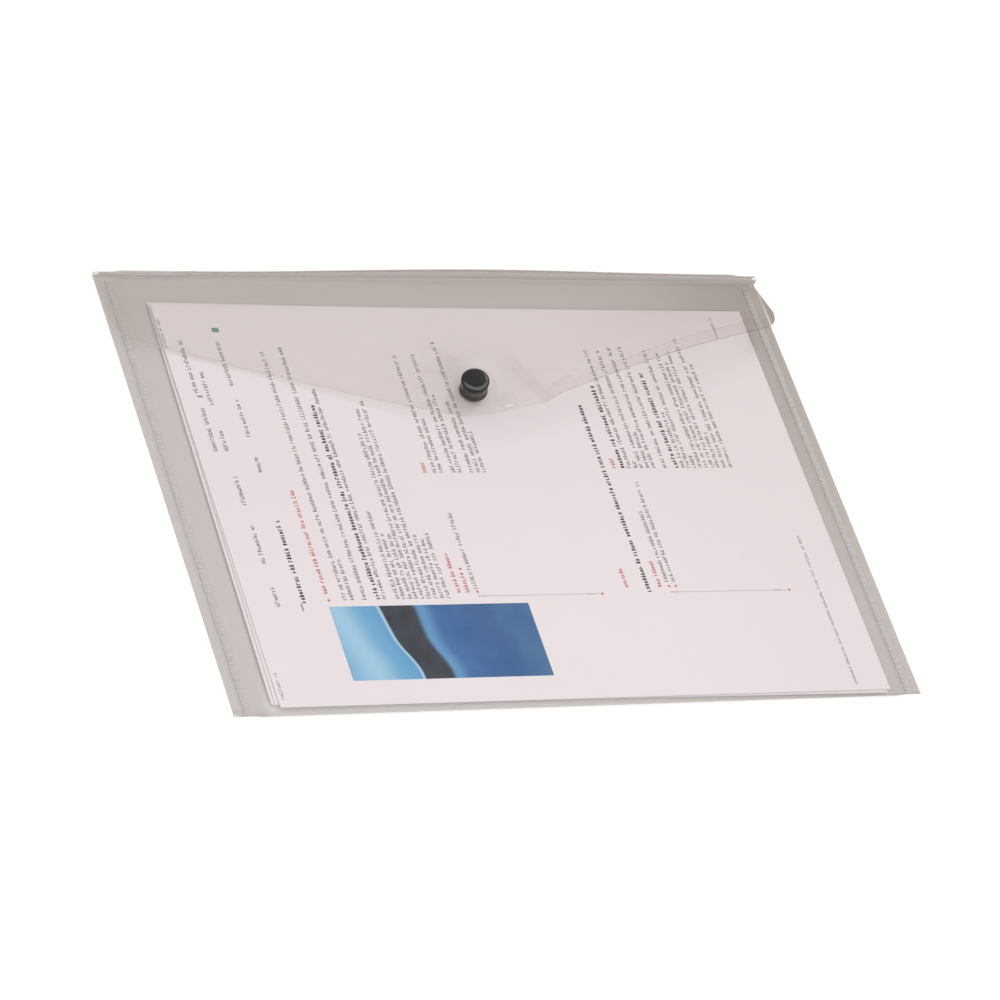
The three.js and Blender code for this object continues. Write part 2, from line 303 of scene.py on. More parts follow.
def newFilm(name, alpha):
    # clear plastic: one attribute adds to its alpha, for the film's own haze and for painted shade;
    # a second turns it pale, for strain whitening and for painted highlights; "shade" darkens it,
    # as painted shade along the crease
    finish = newFinish(name, film["colours"], film["rough"], film["grain"], film["bump"],
                       film["specular"])
    finish.surface_render_method = "BLENDED"
    tree = finish.node_tree
    shader = tree.nodes["Principled BSDF"]
    shader.inputs["IOR"].default_value = film["ior"]
    stressAndHighlight = addNode(tree, "ShaderNodeAttribute", attribute_name="stressAndHighlight")
    hazeAndShade = addNode(tree, "ShaderNodeAttribute", attribute_name="hazeAndShade")
    clear = addNode(tree, "ShaderNodeMapRange")
    clear.inputs["To Min"].default_value = alpha
    clear.inputs["To Max"].default_value = film["stressAndHighlightAlpha"]
    total = addNode(tree, "ShaderNodeMath", operation="ADD", use_clamp=True)
    tree.links.new(stressAndHighlight.outputs["Fac"], clear.inputs["Value"])
    tree.links.new(clear.outputs["Result"], total.inputs[0])
    tree.links.new(hazeAndShade.outputs["Fac"], total.inputs[1])
    tree.links.new(total.outputs[0], shader.inputs["Alpha"])
    colour = tree.nodes["tint"].outputs[2]
    for attribute in ("shade", "stressAndHighlight"):
        colour = tintBy(tree, attribute, colour, film[attribute])
    tree.links.new(colour, shader.inputs["Base Color"])
    return finish


clearFilm = newFilm("clearFilm", film["alpha"])
filmRim = newFilm("filmRim", film["rimAlpha"])
print("finishes: film ready")


# The film's surfaces, as the CAD source gives them

pocket = {
    "width": 334.0, "depth": 234.0, "film": 0.2, "mouthDrop": 3.0,
    "backTop": 0.2, "weldedTop": 0.7, "pileTop": 1.8, "filledTop": 2.3,
    "weldEdge": 159.4, "weldInset": 4.8, "weldWidth": 2.8, "filledEdge": 153.0,
    "step": 1.7, "backStep": 3.0, "rollSteps": 10, "wave": 0.05,
    # the back film's own haze, partly painted shade; the top, right, foot and front values are
    # painted shade
    "hazeAndShade": 0.178, "shadeTop": 0.026, "shadeRight": 0.11, "shadeFoot": -0.088, "frontShade": 0.014,
    # where each painted shade begins to grow and the length that it takes
    "topSpan": (60, 50), "rightSpan": (90, 75), "rightRise": (-90, 190), "rightLeast": 0.25,
    "footSpan": (98, 16), "footWidth": 154, "frontRise": (-90, 120), "frontRight": (30, 110),
    # a painted glint at the fold's left corner
    "weldPale": 0.48, "foldPale": 0.12, "cornerGlint": 1.2,
}
stud = {
    "x": -3.8, "y": 48.5, "lean": math.radians(16.4), "gap": 5.0, "clear": 0.3,
    "capRadius": 6.3, "backing": 1.5, "seatMargin": 4.5, "frontBlend": 20.0, "flapBlend": 34.0,
}
flap = {
    "shift": -2.3, "halfWidth": 164.5, "depth": 83.3, "slant": math.radians(17.2),
    "corner": 16.0, "tipHalfWidth": 10.6, "tipRadius": 60.0,
    "restGap": 0.4, "bridge": 0.5,
    "crown": 3.0, "crownStart": -120.0, "crownMiddle": 30.0, "crownEnd": 140.0, "crownShare": 0.62,
    "lift": math.radians(16.7), "liftStart": -48.0, "liftEnd": 127.0,
    "rows": 84, "rollSteps": 14, "step": 1.1, "cornerSteps": 14, "flare": 7.0,
    "wave": 0.1, "crownWave": 0.1,
    # the film's own haze, then painted shade to the right, past the pocket's side and on the
    # crease, and lighter round the stud
    "hazeAndShade": 0.014, "shadeRight": 0.022, "shadeOutside": 0.62, "creaseShadeAlpha": 0.33, "studLightening": -0.03,
    "rightSpan": (40, 110), "stripSpan": (22, 12), "outsideLean": 0.69, "outsideSpan": (165, 3),
    # painted shade along the crease's top; painted highlights on the left free edge and round the
    # stud; a painted glint at the corner
    "creaseShade": 0.3, "creasePale": 0.10, "edgeHighlight": 0.4, "studRingHighlight": 0.12, "cornerGlint": 1.3,
    # a darker strip inside the right free edge, with a line along its inner side
    "innerStrip": 0.022, "stripInset": (4.2, 6.6), "stripWidens": (30, 90),
}
halfWidth = pocket["width"] / 2
halfFilm = pocket["film"] / 2
seatRadius = stud["capRadius"] + stud["seatMargin"]
studBase = (pocket["pileTop"] + stud["clear"] + stud["capRadius"] * math.sin(stud["lean"])
            + stud["backing"] * math.cos(stud["lean"]))


def restingTop(x):
    rise = ease((pocket["weldEdge"] - np.abs(x)) / (pocket["weldEdge"] - pocket["filledEdge"]))
    return mix(pocket["weldedTop"], pocket["filledTop"], rise)


def seat(x, y, height, blend):
    # height of the film's seat round the leaning stud, and the share that it has at a place
    centreX = stud["x"] - height * math.sin(stud["lean"])
    centreZ = studBase + height * math.cos(stud["lean"])
    run = np.clip(x - centreX, -seatRadius, seatRadius)
    away = np.hypot(x - centreX, y - stud["y"])
    return centreZ + math.tan(stud["lean"]) * run, 1 - ramp(away, (seatRadius, blend))


def frontTop(x, y):
    level, share = seat(x, y, 0, stud["frontBlend"])
    return mix(restingTop(x), level, share)


def crown(x):
    climb = ease((x - flap["crownStart"]) / (flap["crownMiddle"] - flap["crownStart"]))
    fall = ease((x - flap["crownMiddle"]) / (flap["crownEnd"] - flap["crownMiddle"]))
    return flap["crown"] * climb * mix(1, flap["crownShare"], fall)


def flapResting(x, run):
    bridged = mix(restingTop(x), pocket["filledTop"], flap["bridge"])
    liftShare = ease((x - flap["liftStart"]) / (flap["liftEnd"] - flap["liftStart"]))
    return bridged + flap["restGap"] + crown(x) + run * math.tan(flap["lift"]) * liftShare


def flapUnder(x, y, run):
    level, share = seat(x, y, stud["gap"], stud["flapBlend"])
    return mix(flapResting(x, run), level, share)


def flapReach(x):
    a = np.abs(x - flap["shift"])
    slope = math.tan(flap["slant"])
    cornerA = flap["halfWidth"] - flap["corner"]
    slanted = flap["depth"] - slope * (a - flap["tipHalfWidth"])
    cornerS = (flap["depth"] - slope * (cornerA - flap["tipHalfWidth"])
               - flap["corner"] / math.cos(flap["slant"]))
    tipStart = flap["tipHalfWidth"] - flap["tipRadius"] * math.tan(flap["slant"] / 2)
    tipEnd = tipStart + flap["tipRadius"] * math.sin(flap["slant"])
    tipSide = np.sqrt(np.maximum(flap["tipRadius"] ** 2 - np.maximum(a - tipStart, 0) ** 2, 0))
    cornerRun = np.clip(a - cornerA, 0, flap["corner"])
    cornerSide = np.sqrt(flap["corner"] ** 2 - cornerRun ** 2)
    reach = np.where(a <= tipEnd, flap["depth"] - flap["tipRadius"] + tipSide, slanted)
    reach = np.where(a <= tipStart, flap["depth"], reach)
    inCorner = a > cornerA + flap["corner"] * math.sin(flap["slant"])
    return np.where(inCorner, cornerS + cornerSide, reach)


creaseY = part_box("back_panel")[1].y / mm
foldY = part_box("back_panel")[0].y / mm


# Pocket: one film that runs down the back, round the bottom fold and up the front

def stationsAcross(step):
    # even steps, but with rows of their own where the film climbs off the weld and over the weld
    inner = np.arange(-halfWidth, halfWidth + step / 2, 2 * halfWidth / round(2 * halfWidth / step))
    climb = np.linspace(pocket["filledEdge"], pocket["weldEdge"], 8)
    clear = np.abs(np.abs(inner) - climb.mean()) > climb[-1] - climb.mean() + 0.4
    seam = pocket["weldEdge"] + pocket["weldWidth"] * np.array([0.15, 0.5, 0.85, 1.0, 1.2])
    clear &= np.abs(np.abs(inner) - seam.mean()) > 2.6
    return np.unique(np.concatenate([inner[clear], climb, -climb, seam, -seam]).round(4))


def pocketWave(x, y):
    # slow ripples in the front film, none at its edges
    hold = ease((halfWidth - 14 - np.abs(x)) / 30) * ease((y - foldY) / 12)
    ripple = (np.sin(x / 23 + 0.6 * np.sin(y / 31)) + 0.7 * np.sin(y / 17 + x / 57)
              + 0.5 * np.sin((x + y) / 11.3))
    return pocket["wave"] * hold * ripple


def backHazeAndShade(x, y):
    # the back film's own haze with painted shade: darker towards the crease and the right side,
    # lighter at the foot
    top = pocket["shadeTop"] * ramp(y, pocket["topSpan"])
    rise = mix(pocket["rightLeast"], 1, ramp(y, pocket["rightRise"]))
    right = pocket["shadeRight"] * ramp(x, pocket["rightSpan"]) * rise
    inside = ease((pocket["footWidth"] - np.abs(x)) / 6)
    return pocket["hazeAndShade"] + top + right + pocket["shadeFoot"] * ramp(-y, pocket["footSpan"]) * inside


def frontShade(x, y):
    # painted shade: the front film is darker towards the mouth and the right
    return pocket["frontShade"] * (ramp(y, pocket["frontRise"]) + ramp(x, pocket["frontRight"]))


def spot(x, y, centre, radius):
    return np.exp(-((x - centre[0]) ** 2 + (y - centre[1]) ** 2) / radius ** 2)


def pocketPaleAndGlint(x, y, z):
    # pale along the fold and over the welds, with a painted glint at its left corner
    stressAndHighlight = pocket["foldPale"] * bell(y - foldY + 0.6, 0.9)
    corner = spot(x, y, (0.7 - halfWidth, foldY - 0.4), 1.6)
    stressAndHighlight = np.maximum(stressAndHighlight, pocket["cornerGlint"] * corner)
    seam = (np.abs(x) - pocket["weldEdge"]) / pocket["weldWidth"]
    onFront = z > (pocket["backTop"] + pocket["weldedTop"]) / 2
    pressed = ramp(seam, (-0.05, 0.2)) * ease((1.15 - seam) / 0.3) * onFront
    return np.maximum(stressAndHighlight, pocket["weldPale"] * pressed)


def makePocketFilm():
    across = stationsAcross(pocket["step"])
    rows, hazeAndShade = [], []
    for y in np.linspace(creaseY, foldY, round((creaseY - foldY) / pocket["backStep"])):
        rows.append(np.stack([across, np.full_like(across, y), np.full_like(across, halfFilm)], -1))
        hazeAndShade.append(backHazeAndShade(across, y))
    radius = restingTop(across) / 2 - halfFilm
    for angle in np.linspace(0, math.pi, pocket["rollSteps"] + 1)[1:-1]:
        rows.append(np.stack([across, foldY - radius * math.sin(angle),
                              restingTop(across) / 2 - radius * math.cos(angle)], -1))
        hazeAndShade.append(backHazeAndShade(across, foldY) * (0.5 + 0.5 * math.cos(angle)))
    mouthY = creaseY - pocket["mouthDrop"]
    for y in np.linspace(foldY, mouthY, round((mouthY - foldY) / pocket["step"])):
        z = frontTop(across, y) - halfFilm + pocketWave(across, y)
        rows.append(np.stack([across, np.full_like(across, y), z], -1))
        hazeAndShade.append(frontShade(across, y))
    points = np.array(rows)
    made = newObject("pocket_film", points.reshape(-1, 3), gridFaces(*points.shape[:2]))
    addAttribute(made, "stressAndHighlight", pocketPaleAndGlint(*points.transpose(2, 0, 1)))
    addAttribute(made, "hazeAndShade", hazeAndShade)
    return made


def thicken(obj, hidden):
    # gives a sheet of film its thickness, with the second material on its rim but where hidden
    obj.data.materials.append(clearFilm)
    obj.data.materials.append(filmRim)
    addThickness(obj, pocket["film"], 1)
    for face in obj.data.polygons:
        if face.material_index and hidden(*(v / mm for v in face.center)):
            face.material_index = 0
    return obj


pocketFilm = thicken(makePocketFilm(), lambda x, y, z: abs(x) < halfWidth - 0.2)
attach(pocketFilm, "pocket")
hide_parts("back_panel", "front_panel", "bottom_fold")
print("pocket: film made")


# Flap: one film from the back's top edge, round the rolled crease, to the free edge

valley = {
    "from": (11.0, 66.0), "to": (25.5, 36.5), "depth": 3.0, "width": 5.0,
    # painted shade along the valley, and a painted highlight on its bank
    "hazeAndShade": 0.045, "shadeSide": 0.4, "shadeWidth": 2.4,
    "highlight": 0.16, "highlightSide": 3.4, "highlightWidth": 1.5,
}
highlightStreaks = (  # start, end, half width and strength of the painted highlights along the flap's wrinkles
    ((24.0, 40.6), (41.1, 47.8), 0.9, 0.55),
    ((1.6, 32.3), (9.2, 34.2), 1.0, 0.85),
    ((3.5, 37.2), (10.5, 40.4), 1.6, 0.22),
    ((-30.0, 58.0), (-12.0, 52.5), 1.8, 0.16),
    ((-26.0, 40.5), (-13.0, 43.0), 1.5, 0.14),
    ((-20.0, 72.0), (-9.0, 59.0), 2.0, 0.14),
    ((-168.0, 114.6), (-116.0, 115.0), 1.1, 0.7),
)


def alongLine(x, y, start, end):
    # share along a line and distance from it
    start, end = np.array(start), np.array(end)
    way = end - start
    length = np.hypot(*way)
    t = ((x - start[0]) * way[0] + (y - start[1]) * way[1]) / length ** 2
    side = ((x - start[0]) * -way[1] + (y - start[1]) * way[0]) / length
    return t, side


def flapWrinkle(x, y, run):
    # a valley from the stud's right to the free edge, and waves that grow where the flap bulges
    t, side = alongLine(x, y, valley["from"], valley["to"])
    dip = valley["depth"] * ease(t / 0.35) * ease((1.35 - t) / 0.3)
    awayFromStud = ease((np.hypot(x - stud["x"], y - stud["y"]) - seatRadius) / 14)
    swell = (flap["wave"] + flap["crownWave"] * crown(x)) * ease(run / 14) * awayFromStud
    ripple = np.sin(x / 15 + 0.8 * np.sin(y / 19)) + 0.6 * np.sin(y / 13 - x / 41)
    return 0.5 * swell * (ripple + 1.6) - dip * bell(side, valley["width"])


def flapPaleAndHighlights(x, y, run, edge):
    # painted highlights at the left free edge, along the streaks, on the valley's bank and in a
    # ring round the stud, a painted glint at the left corner, and paler at the crease
    value = flap["edgeHighlight"] * ramp(-x, (10, 30)) * bell(edge, 0.8)
    value = np.maximum(value, flap["creasePale"] * ease(-run / 0.2))
    for start, end, width, strength in highlightStreaks:
        t, side = alongLine(x, y, start, end)
        fade = ease(t / 0.25) * ease((1 - t) / 0.25)
        value = np.maximum(value, strength * fade * bell(side, width))
    t, side = alongLine(x, y, valley["from"], valley["to"])
    fade = ease(t / 0.5) * ease((1.3 - t) / 0.3)
    bank = bell(side - valley["highlightSide"], valley["highlightWidth"])
    value = np.maximum(value, valley["highlight"] * fade * bank)
    ring = np.hypot(x - stud["x"], y - stud["y"]) - stud["capRadius"] - 0.5
    value = np.maximum(value, flap["studRingHighlight"] * bell(ring, 0.6))
    corner = spot(x, y, (0.9 - halfWidth, creaseY + 0.6), 1.8)
    return np.maximum(value, flap["cornerGlint"] * corner)


def stripDistance(x):
    return mix(*flap["stripInset"], ramp(x, flap["stripWidens"]))


def flapHazeAndShade(x, y, z, run, edge):
    # the film's own haze, and painted shade at the crease, to the right, past the pocket's side and
    # along the valley; lighter round the stud; a darker strip runs inside the right free edge
    creaseShading = flap["creaseShadeAlpha"] * ease(-run / 0.2)
    t, side = alongLine(x, y, valley["from"], valley["to"])
    fade = ease(t / 0.4) * ease((1.3 - t) / 0.3)
    dip = valley["hazeAndShade"] * fade * bell(side - valley["shadeSide"], valley["shadeWidth"])
    innerStrip = flap["innerStrip"] * ramp(x, flap["stripSpan"]) * ease((stripDistance(x) - edge) / 0.9)
    right = flap["shadeRight"] * ramp(x, flap["rightSpan"])
    outsideShade = flap["shadeOutside"] * ramp(x + flap["outsideLean"] * z, flap["outsideSpan"])
    lighterRoundStud = flap["studLightening"] * ease((15 - np.hypot(x - stud["x"], y - stud["y"])) / 6)
    return (flap["hazeAndShade"] + right + outsideShade) * ease(run / 3) + creaseShading + dip + innerStrip + lighterRoundStud


def flapPlace(wide, flat, run):
    # middle of the film at a distance from the crease, on the grid line from wide to flat
    x = mix(wide, flat, ease(run / flap["flare"]))
    y = creaseY - run
    return np.stack([x, y, flapUnder(x, y, run) + halfFilm + flapWrinkle(x, y, run)], -1)


def flapGrid():
    left = flap["shift"] - flap["halfWidth"]
    right = flap["shift"] + flap["halfWidth"]
    turns = np.linspace(0, math.pi / 2, flap["cornerSteps"] + 1)[:-1]
    insets = flap["corner"] * (1 - np.sin(turns))
    innerFrom, innerTo = left + flap["corner"], right - flap["corner"]
    inner = np.linspace(innerFrom, innerTo, round((innerTo - innerFrom) / flap["step"]))
    flat = np.unique(np.concatenate([left + insets, inner, right - insets]).round(4))
    return mix(-halfWidth, halfWidth, (flat - left) / (right - left)), flat


def makeFlapFilm():
    wide, flat = flapGrid()
    height = flapResting(wide, 0) + pocket["film"]
    radius = height / 2 - halfFilm
    reach = flapReach(flat)
    rows, runs = [], []
    for angle in np.linspace(0, math.pi, flap["rollSteps"] + 1)[:-1]:
        rows.append(np.stack([wide, creaseY + radius * math.sin(angle),
                              height / 2 - radius * math.cos(angle)], -1))
        runs.append(np.full_like(flat, -2 * angle / math.pi))
    for share in np.linspace(0, 1, flap["rows"]):
        rows.append(flapPlace(wide, flat, share * reach))
        runs.append(share * reach)
    points, runs = np.array(rows), np.array(runs)
    made = newObject("flap_film", points.reshape(-1, 3), gridFaces(*points.shape[:2]))
    x, y, z = points[..., 0], points[..., 1], points[..., 2]
    edge = (reach - runs) * math.cos(flap["slant"])
    addAttribute(made, "stressAndHighlight", flapPaleAndHighlights(x, y, runs, edge))
    addAttribute(made, "hazeAndShade", flapHazeAndShade(x, y, z, runs, edge))
    # painted shade along the top of the rolled crease
    addAttribute(made, "shade", flap["creaseShade"] * bell(runs + 1.4, 0.16))
    return made


flapFilm = thicken(makeFlapFilm(), lambda x, y, z: y > creaseY - 0.05 and abs(x) < halfWidth - 0.2)
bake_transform(flapFilm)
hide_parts("flap_panel", "flap_crease")


def newTree(name, path, value):
    # a tree that takes geometry, one number and a finish
    tree = bpy.data.node_groups.new(name, "GeometryNodeTree")
    tree.interface.new_socket(path, in_out="INPUT", socket_type="NodeSocketGeometry")
    tree.interface.new_socket(value, in_out="INPUT", socket_type="NodeSocketFloat")
    tree.interface.new_socket("Finish", in_out="INPUT", socket_type="NodeSocketMaterial")
    tree.interface.new_socket("Geometry", in_out="OUTPUT", socket_type="NodeSocketGeometry")
    return tree, tree.nodes.new("NodeGroupInput")


def endTree(tree, into, geometry):
    # the result made real and given its finish
    real = tree.nodes.new("GeometryNodeRealizeInstances")
    paint = tree.nodes.new("GeometryNodeSetMaterial")
    out = tree.nodes.new("NodeGroupOutput")
    tree.links.new(geometry, real.inputs["Geometry"])
    tree.links.new(real.outputs["Geometry"], paint.inputs["Geometry"])
    tree.links.new(into.outputs["Finish"], paint.inputs["Material"])
    tree.links.new(paint.outputs["Geometry"], out.inputs["Geometry"])


def makeBeadTree():
    # a thin round bead along a row of joined points
    tree, into = newTree("bead", "Path", "Radius")
    curve = tree.nodes.new("GeometryNodeMeshToCurve")
    circle = addNode(tree, "GeometryNodeCurvePrimitiveCircle", Resolution=6)
    sweep = tree.nodes.new("GeometryNodeCurveToMesh")
    sweep.inputs["Fill Caps"].default_value = True
    links = tree.links
    links.new(into.outputs["Path"], curve.inputs["Mesh"])
    links.new(into.outputs["Radius"], circle.inputs["Radius"])
    links.new(curve.outputs["Curve"], sweep.inputs["Curve"])
    links.new(circle.outputs["Curve"], sweep.inputs["Profile Curve"])
    endTree(tree, into, sweep.outputs["Mesh"])
    return tree


def useTree(obj, tree, **values):
    # a modifier's inputs are set by their sockets' identifiers, then the result is made plain
    modifier = obj.modifiers.new(tree.name, "NODES")
    modifier.node_group = tree
    for item in tree.interface.items_tree:
        if item.item_type == "SOCKET" and item.in_out == "INPUT" and item.name in values:
            modifier[item.identifier] = values[item.name]
    return bake(obj)


beadTree = makeBeadTree()
bead = {
    "edgeRadius": 0.14, "stripLineRadius": 0.09, "alpha": 0.04, "hazeAndShade": 0.3, "shade": 0.8,
    "dark": (10, 50), "highlight": 0.6, "highlightSpan": (8, 30), "stripLineDark": 0.5, "stripLineEnds": (34, 146),
}
beadFinish = newFilm("beadFilm", bead["alpha"])


def makeBead(name, points, dark, highlight, radius):
    made = newObject(name, points, [])
    made.data.edges.add(len(points) - 1)
    ends = np.arange(len(points) - 1)
    made.data.edges.foreach_set("vertices", np.stack([ends, ends + 1], -1).ravel())
    addAttribute(made, "hazeAndShade", bead["hazeAndShade"] * dark)
    addAttribute(made, "shade", bead["shade"] * dark)
    addAttribute(made, "stressAndHighlight", highlight)
    useTree(made, beadTree, Radius=radius * mm, Finish=beadFinish)
    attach(made, "flap")


def makeFlapBeads():
    wide, flat = flapGrid()
    reach = flapReach(flat)
    points = flapPlace(wide, flat, reach)
    # painted highlight along the left part of the free edge
    highlight = bead["highlight"] * ramp(-flat, bead["highlightSpan"])
    makeBead("flap_edge", points, ramp(flat, bead["dark"]), highlight, bead["edgeRadius"])
    start, end = bead["stripLineEnds"]
    kept = (flat > start) & (flat < end)
    run = reach - stripDistance(flat) / math.cos(flap["slant"])
    points = flapPlace(wide, flat, run)[kept] + [0, 0, halfFilm]
    dark = bead["stripLineDark"] * ramp(flat[kept], (start, 30))
    makeBead("flap_inner_line", points, dark, 0 * dark, bead["stripLineRadius"])


makeFlapBeads()
print("flap: film, edge and hem made")


# The plain pale floor

floor = {"reach": 9000, "level": -0.02, "colour": 0.86, "rough": 0.9, "glow": 0.26}


def makeFloor():
    sides = ((-1, -1), (1, -1), (1, 1), (-1, 1))
    corners = [(x * floor["reach"], y * floor["reach"], floor["level"]) for x, y in sides]
    made = newObject("floor", corners, [(0, 1, 2, 3)])
    finish = bpy.data.materials.new("floor")
    finish.use_nodes = True
    tree = finish.node_tree
    shader = tree.nodes["Principled BSDF"]
    shader.inputs["Base Color"].default_value = (*[floor["colour"]] * 3, 1)
    shader.inputs["Roughness"].default_value = floor["rough"]
    shader.inputs["Specular IOR Level"].default_value = 0.0
    shader.inputs["Emission Color"].default_value = (1, 1, 1, 1)
    path = tree.nodes.new("ShaderNodeLightPath")  # the glow is only for the camera's eye
    seen = addNode(tree, "ShaderNodeMath", operation="MULTIPLY")
    seen.inputs[1].default_value = floor["glow"]
    tree.links.new(path.outputs["Is Camera Ray"], seen.inputs[0])
    tree.links.new(seen.outputs[0], shader.inputs["Emission Strength"])
    made.data.materials.append(finish)


makeFloor()
print("stage: floor made")


# Sheets of paper

paper = {
    "width": 297.0, "depth": 210.0, "thick": 0.1, "pitch": 0.4,
    "foot": 2.2, "wave": 0.07, "columns": 110, "rows": 80,
    "lays": ((2.8, 1.5, -0.15), (1.1, 3.1, -0.75), (-0.5, 3.6, -0.85), (0.4, 2.8, -0.6)),
    "colours": ((0.925, 0.850, 0.872), (0.95, 0.875, 0.898)),
    "rough": 0.75, "grain": (4200.0, 25.0, 0.6), "bump": (0.15, 0.03),
}
paperWhite = newFinish("paperWhite", paper["colours"], paper["rough"], paper["grain"],
                       paper["bump"])


def onSheet(index, u, v):
    # place in the pocket of a point given by its distance along a sheet's foot and up its side
    right, up, turn = paper["lays"][index]
    c, s = math.cos(math.radians(turn)), math.sin(math.radians(turn))
    x = right - paper["width"] / 2 + u * c - v * s
    y = up + paper["foot"] - pocket["depth"] / 2 + u * s + v * c
    return x, y


def sheetTop(index, u, v):
    top = pocket["pileTop"] - index * paper["pitch"]
    ripple = np.sin(u / 31 + index) * np.sin(v / 27 + 2 * index) + 0.4 * np.sin((u - v) / 19)
    return top - paper["wave"] * (1 + ripple / 1.4) / 2


def makeSheet(index):
    u, v = np.meshgrid(np.linspace(0, paper["width"], paper["columns"]),
                       np.linspace(0, paper["depth"], paper["rows"]))
    x, y = onSheet(index, u, v)
    z = sheetTop(index, u, v) - paper["thick"] / 2
    made = newObject(f"sheet_{index + 1}_paper", np.stack([x, y, z], -1).reshape(-1, 3),
                     gridFaces(*u.shape))
    made.data.materials.append(paperWhite)
    addThickness(made, paper["thick"])
    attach(made, f"sheet_{index + 1}")
    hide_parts(f"paper_{index + 1}")


for number in range(4):
    makeSheet(number)
print("paper: four sheets made")


# Print on the top sheet: rows of small dashes that stand for text, rules, ticks and a picture

printing = {
    "height": 0.02, "seed": 11, "rough": 0.6, "grain": (5200.0, 90.0, 1.0), "bump": (0.1, 0.01),
    # a sign's pitch, height and strokes, and the space between two signs or two words
    "pitch": 1.55, "high": 1.6, "stem": 0.29, "bar": 0.24, "gap": 0.42, "space": 1.1,
    # what a sign's width, a word's length and the space after it are drawn from
    "wide": (0.55, 0.8), "letters": (2, 3, 4, 5, 6, 7, 8, 9), "spaces": (0.8, 1.2),
    # the first stem's heights, the share of signs with a second one, its heights and the bar's
    "reaches": (1.0, 1.0, 1.0, 1.4, 1.25), "second": 0.62, "seconds": (0.75, 1.0),
    "levels": (0.06, 0.5, 0.92), "barShare": 0.8,
    "small": 0.74, "smallWeight": 0.8,  # size of the smallest rows and width of their strokes
    "boldSize": 1.04, "bold": 1.75, "redWeight": 1.4,
    "dot": 1.1, "dotShift": -0.7,
    # a rule's width, its red end's place and size, its bars' places and lengths, and their width
    "rule": 0.35, "ruleEnd": (1.2, 1.2, 1.0), "bars": ((1.8, 3.6), (-4.5, 4.0)), "barWidth": 0.7,
}
# each row: distance from the sheet's left edge, where the row starts and where it ends
smallRows = [(3.0, 3.9, 17.7), (1.8, 186.7, 204.4), (280.5, 194.1, 207.2), (281.3, 3.0, 83.0)]
plainRows = [
    (9.5, 131.1, 155.1), (9.4, 162.3, 191.0), (14.9, 50.4, 60.7), (14.8, 72.4, 93.7),
    (14.7, 102.8, 119.1), (14.7, 131.1, 144.8), (14.6, 155.9, 174.8), (27.2, 119.9, 129.4),
    (27.2, 138.8, 159.4), (27.1, 166.2, 191.0), (46.8, 53.0, 185.4), (50.1, 53.0, 74.5),
    (56.2, 53.0, 188.5), (65.5, 53.1, 165.7), (71.7, 53.1, 100.3), (74.6, 53.1, 87.4),
    (77.7, 53.1, 88.6), (80.5, 53.1, 140.9), (83.5, 53.1, 153.9), (86.8, 53.1, 159.9),
    (89.9, 53.1, 86.6), (92.9, 53.1, 84.9), (96.0, 53.1, 88.0), (110.6, 57.5, 97.8),
    (110.7, 119.2, 184.2), (113.9, 119.2, 148.8), (120.0, 119.2, 186.8), (123.1, 119.2, 162.0),
    (128.9, 119.2, 158.6), (132.3, 119.2, 191.6), (135.1, 119.2, 143.2), (205.6, 59.4, 99.1),
    (209.0, 59.4, 115.0), (208.6, 121.0, 188.0), (211.9, 121.0, 126.2), (214.7, 121.0, 187.3),
    (217.9, 121.0, 142.4), (220.9, 121.0, 189.0), (226.8, 121.0, 189.7), (236.1, 121.1, 153.2),
    (238.9, 121.1, 187.6), (242.0, 121.1, 128.2), (245.1, 121.1, 185.9), (248.1, 121.1, 181.2),
    (251.2, 121.1, 189.0), (254.2, 121.1, 142.4), (257.5, 121.1, 195.3), (260.8, 121.1, 179.5),
]
boldRows = [(27.4, 51.8, 95.9), (62.5, 53.1, 156.0), (195.1, 54.2, 156.0),
            (205.2, 121.0, 168.0), (232.8, 121.0, 174.8)]
redRows = [(38.9, 56.4, 110.9), (101.9, 55.7, 77.7), (106.3, 55.7, 69.8), (106.1, 119.2, 125.5),
           (184.6, 56.8, 69.3), (201.3, 56.8, 71.0), (200.9, 121.0, 127.0)]
dots = [(39.0, 53.0), (110.7, 56.0), (205.8, 57.1), (209.2, 57.1)]
rules = [(53.7, 109.6, 169.2), (53.9, 204.6, 264.0)]  # height on the sheet, start and end
ticks = [  # place on the sheet and size
    (27.2, 196.5, 3.4, 2.4), (24.9, 49.7, 0.7, 3.8), (9.5, 160.3, 2.6, 1.0),
]
draw = random.Random(printing["seed"])


def rowMarks(row, size=1.0, weight=1.0):
    # words of random length; each sign is one or two uneven stems and a bar at a random level
    across, at, end = row
    high = printing["high"] * size
    stem, bar = printing["stem"] * size * weight, printing["bar"] * size * weight
    marks = []
    while at < end - printing["pitch"] * size:
        for _ in range(draw.choice(printing["letters"])):
            wide = printing["pitch"] * size * draw.uniform(*printing["wide"])
            if at + wide > end:
                break
            reach = draw.choice(printing["reaches"])
            marks.append((across - high * reach / 2, at + stem / 2, high * reach, stem))
            if draw.random() < printing["second"]:
                level = draw.uniform(*printing["seconds"])
                marks.append((across - high * level / 2, at + wide - stem / 2, high * level, stem))
            level = draw.choice(printing["levels"])
            marks.append((across - high * level, at + wide / 2, bar, wide * printing["barShare"]))
            at += wide + printing["gap"] * size
        at += printing["space"] * draw.uniform(*printing["spaces"])
    return marks


